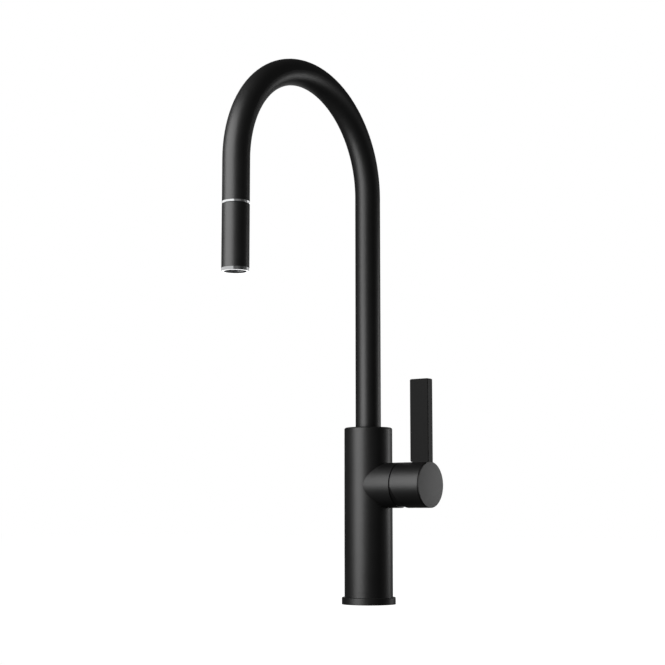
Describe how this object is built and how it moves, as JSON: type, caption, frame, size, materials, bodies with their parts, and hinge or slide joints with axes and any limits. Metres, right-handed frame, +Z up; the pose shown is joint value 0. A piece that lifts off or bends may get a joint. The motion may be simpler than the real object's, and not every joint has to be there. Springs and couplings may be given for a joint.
{
  "type": "pull-down kitchen faucet",
  "caption": "Single-lever kitchen mixer with a tall swivelling arched spout, a pull-down spray head on a hose and a flat side lever, in matte black.",
  "frame": {"origin": "centre of the base's seat on the worktop, on the body's vertical axis", "axes": "+Z up along the body; the spout reaches along -Y and the handle stands out along +X"},
  "size_m": [0.1048, 0.2575, 0.6554],
  "materials": {
    "matte_black": "fine-grained matte black coating on brass and steel",
    "chrome": "polished chrome plating",
    "brass": "turned brass",
    "steel": "plain stainless steel",
    "rubber": "moulded black rubber",
    "white_plastic": "natural white acetal",
    "grey_plastic": "moulded grey plastic",
    "black_plastic": "moulded black plastic",
    "ceramic": "lapped white ceramic",
    "hose_braid": "woven grey nylon over a rubber hose"
  },
  "bodies": {
    "base": {"base_flange": "matte_black", "base_gasket": "rubber", "mixer_body": "matte_black", "valve_block": "matte_black", "swivel_stop_pin": "steel", "bearing_sleeve": "white_plastic", "thrust_washer": "white_plastic", "body_top_ring": "matte_black", "cartridge_seals": "rubber", "cartridge_housing": "grey_plastic", "fixed_disc": "ceramic", "cartridge_nut": "brass", "dome_cover": "matte_black", "deck_shank": "brass", "hose_in_body": "hose_braid", "hose_coupling": "brass", "coupling_o_ring": "rubber", "outlet_pipe": "steel", "outlet_coupling": "brass"},
    "spout": {"spout_tube": "matte_black", "spout_foot": "brass", "swivel_o_ring": "rubber", "docking_ring": "chrome", "outlet_guide": "white_plastic", "hose_in_spout": "hose_braid"},
    "hose_end": {"pull_hose_drawn": "hose_braid", "hose_ferrule": "steel", "hose_connector": "brass", "connector_o_ring": "rubber"},
    "spray_head": {"head_core": "black_plastic", "head_sleeve": "matte_black", "head_top_washer": "rubber", "check_valve": "white_plastic", "flow_regulator": "white_plastic", "aerator_housing": "chrome", "aerator_insert": "black_plastic", "aerator_seal": "rubber", "filter_screen": "steel"},
    "rotor": {"cartridge_rotor": "white_plastic", "stem_pin": "steel"},
    "disc": {"moving_disc": "ceramic", "disc_carrier": "white_plastic"},
    "handle": {"cartridge_stem": "brass", "handle_knob": "matte_black", "lever_screw": "steel", "lever_bar": "matte_black", "knob_end_cap": "matte_black", "handle_set_screw": "steel", "screw_plug": "rubber"},
    "clamp": {"rubber_washer": "rubber", "steel_washer": "steel", "clamp_nut": "brass"}
  },
  "joints": [
    {"name": "spout_swivel", "type": "hinge", "parent": "base", "child": "spout", "pos_m": [0, 0, 0.16], "axis": [0, 0, 1], "range_deg": [-75, 75]},
    {"name": "head_pull", "type": "slide", "parent": "spout", "child": "hose_end", "axis": [0, 0, -1], "range_m": [0, 0.3], "deforming": ["pull_hose_drawn"]},
    {"name": "head_turn", "type": "hinge", "parent": "hose_end", "child": "spray_head", "pos_m": [0, -0.2164, 0.39], "axis": [0, 0, 1], "range_deg": [-180, 180]},
    {"name": "temperature_turn", "type": "hinge", "parent": "base", "child": "rotor", "pos_m": [0.03, 0, 0.1212], "axis": [1, 0, 0], "range_deg": [-45, 45]},
    {"name": "flow_lift", "type": "hinge", "parent": "rotor", "child": "handle", "pos_m": [0.03, 0, 0.1212], "axis": [0, 1, 0], "range_deg": [0, 18]},
    {"name": "disc_slide", "type": "slide", "parent": "rotor", "child": "disc", "axis": [0, 0, 1], "range_m": [0, 0.0022]},
    {"name": "clamp_drop", "type": "slide", "parent": "base", "child": "clamp", "axis": [0, 0, -1], "range_m": [0, 0.13]}
  ],
  "couplings": [
    {"joint": "disc_slide", "follows": "flow_lift", "m_per_rad": 0.0065}
  ]
}
